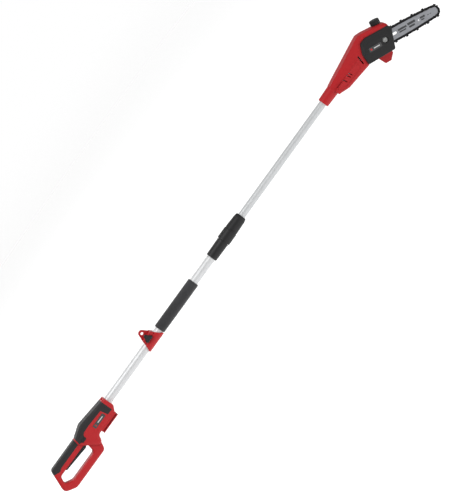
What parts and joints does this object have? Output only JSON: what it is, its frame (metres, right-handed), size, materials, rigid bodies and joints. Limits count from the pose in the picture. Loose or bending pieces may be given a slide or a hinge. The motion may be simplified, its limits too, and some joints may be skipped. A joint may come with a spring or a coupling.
{
  "type": "telescoping pole saw",
  "caption": "Cordless telescoping pole saw: looped rear handle with trigger, telescoping tube with twist lock, strap bracket, and an angled saw head with guide bar and chain.",
  "frame": {"origin": "centre of the strap eye, from which the tool hangs", "axes": "+X along the pole towards the saw head, +Z the side of the strap eye and oil cap, -Y the side of the bar, chain cover and bar nut"},
  "size_m": [1.8975, 0.0706, 0.1801],
  "materials": {
    "red_casing": "satin glass-filled nylon",
    "soft_grip": "matt soft thermoplastic rubber",
    "black_plastic": "fine moulded texture",
    "tube_lower": "matt silver anodised",
    "tube_upper": "matt silver anodised",
    "foam": "closed-cell foam rubber",
    "steel": "ground steel",
    "chain_steel": "dark oiled steel",
    "screw_steel": "zinc plated",
    "gear_case": "die cast",
    "brass_contact": "plated contact",
    "tank_plastic": "natural polythene",
    "badge": "plain plate with a dot and a bar",
    "cable_sheath": "smooth sheath",
    "seal_rubber": "smooth rubber"
  },
  "bodies": {
    "handle": {"handle_shell_right": "red_casing", "handle_shell_left": "red_casing", "rear_grip_overmould": "soft_grip", "body_overmould": "soft_grip", "handle_screws": "screw_steel", "handle_badge": "badge", "trigger_pin": "steel", "trigger_spring": "steel", "switch_module": "black_plastic", "lock_off_spring": "steel", "battery_dock": "red_casing", "battery_terminals": "brass_contact", "lower_tube": "tube_lower", "foam_grip": "foam", "strap_bracket_right": "red_casing", "strap_bracket_left": "red_casing", "strap_nut": "screw_steel", "clamp_socket": "black_plastic", "collet_ring": "black_plastic", "coiled_cable": "cable_sheath"},
    "trigger": {"trigger": "black_plastic"},
    "lock_off": {"lock_off_button": "black_plastic"},
    "strap_knob": {"strap_knob": "black_plastic"},
    "twist_nut": {"twist_nut": "black_plastic"},
    "upper": {"upper_tube": "tube_upper", "tube_end_guide": "black_plastic", "upper_cable": "cable_sheath", "head_shell_right": "red_casing", "head_shell_left": "red_casing", "head_screws": "screw_steel", "head_socket": "red_casing", "branch_hook": "red_casing", "motor_can": "steel", "gearbox": "gear_case", "shaft_bearings": "steel", "pinion_bearing": "steel", "bar_stud": "screw_steel", "chain_drive_links": "chain_steel", "chain_tie_straps": "chain_steel", "chain_cutters": "chain_steel", "chain_rivets": "chain_steel", "chain_cover": "black_plastic", "head_badge": "badge", "oil_tank": "tank_plastic"},
    "guide_bar": {"guide_bar": "steel", "tension_pin": "steel"},
    "tension_screw": {"tension_screw": "screw_steel"},
    "sprocket": {"sprocket_shaft": "steel", "drive_sprocket": "steel", "sprocket_clip": "steel", "bevel_wheel": "steel"},
    "rotor": {"motor_rotor": "steel", "motor_fan": "black_plastic", "pinion": "steel"},
    "bar_nut": {"bar_nut": "screw_steel"},
    "cap_seal": {"oil_cap_seal": "seal_rubber"},
    "oil_cap": {"oil_cap": "black_plastic"}
  },
  "joints": [
    {"name": "telescope", "type": "slide", "parent": "handle", "child": "upper", "axis": [1, 0, 0], "range_m": [-0.42, 0.15], "deforming": ["coiled_cable"]},
    {"name": "twist_nut_turn", "type": "hinge", "parent": "handle", "child": "twist_nut", "pos_m": [0.4264, 0, -0.037], "axis": [1, 0, 0], "range_deg": [0, 90]},
    {"name": "trigger_squeeze", "type": "hinge", "parent": "handle", "child": "trigger", "pos_m": [-0.4736, 0, -0.0495], "axis": [0, -1, 0], "range_deg": [0, 3.6], "stiffness_Nm_per_rad": 6, "springref_deg": -2.86, "deforming": ["trigger_spring"]},
    {"name": "lock_off_press", "type": "slide", "parent": "handle", "child": "lock_off", "axis": [0, 1, 0], "range_m": [0, 0.003], "stiffness_N_per_m": 1000, "springref_m": -0.001, "deforming": ["lock_off_spring"]},
    {"name": "strap_knob_turn", "type": "hinge", "parent": "handle", "child": "strap_knob", "pos_m": [0, -0.022, -0.019], "axis": [0, -1, 0], "range_deg": [0, 360]},
    {"name": "bar_nut_turn", "type": "hinge", "parent": "upper", "child": "bar_nut", "pos_m": [1.17681, -0.034, -0.06993], "axis": [0, -1, 0], "range_deg": [0, 360]},
    {"name": "tension_screw_turn", "type": "hinge", "parent": "upper", "child": "tension_screw", "pos_m": [1.18769, -0.009, -0.06552], "axis": [0.9059, 0, -0.4236], "range_deg": [-1545, 0]},
    {"name": "bar_slide", "type": "slide", "parent": "upper", "child": "guide_bar", "axis": [0.9059, 0, -0.4236], "range_m": [-0.003, 0]},
    {"name": "sprocket_spin", "type": "hinge", "parent": "upper", "child": "sprocket", "pos_m": [1.1297, 0, -0.0479], "axis": [0, 1, 0], "continuous": true},
    {"name": "rotor_spin", "type": "hinge", "parent": "upper", "child": "rotor", "pos_m": [1.1297, 0, -0.0479], "axis": [0.9976, 0, -0.0698], "continuous": true},
    {"name": "oil_cap_lift", "type": "slide", "parent": "upper", "child": "cap_seal", "axis": [0.4236, 0, 0.9059], "range_m": [0, 0.008]},
    {"name": "oil_cap_turn", "type": "hinge", "parent": "cap_seal", "child": "oil_cap", "pos_m": [1.2007, 0.006, -0.0259], "axis": [0.4236, 0, 0.9059], "range_deg": [0, 722]}
  ],
  "couplings": [
    {"joint": "rotor_spin", "follows": "sprocket_spin", "ratio": 3},
    {"joint": "tension_screw_turn", "follows": "bar_slide", "rad_per_m": 8976},
    {"joint": "oil_cap_turn", "follows": "oil_cap_lift", "rad_per_m": 1570.8}
  ]
}
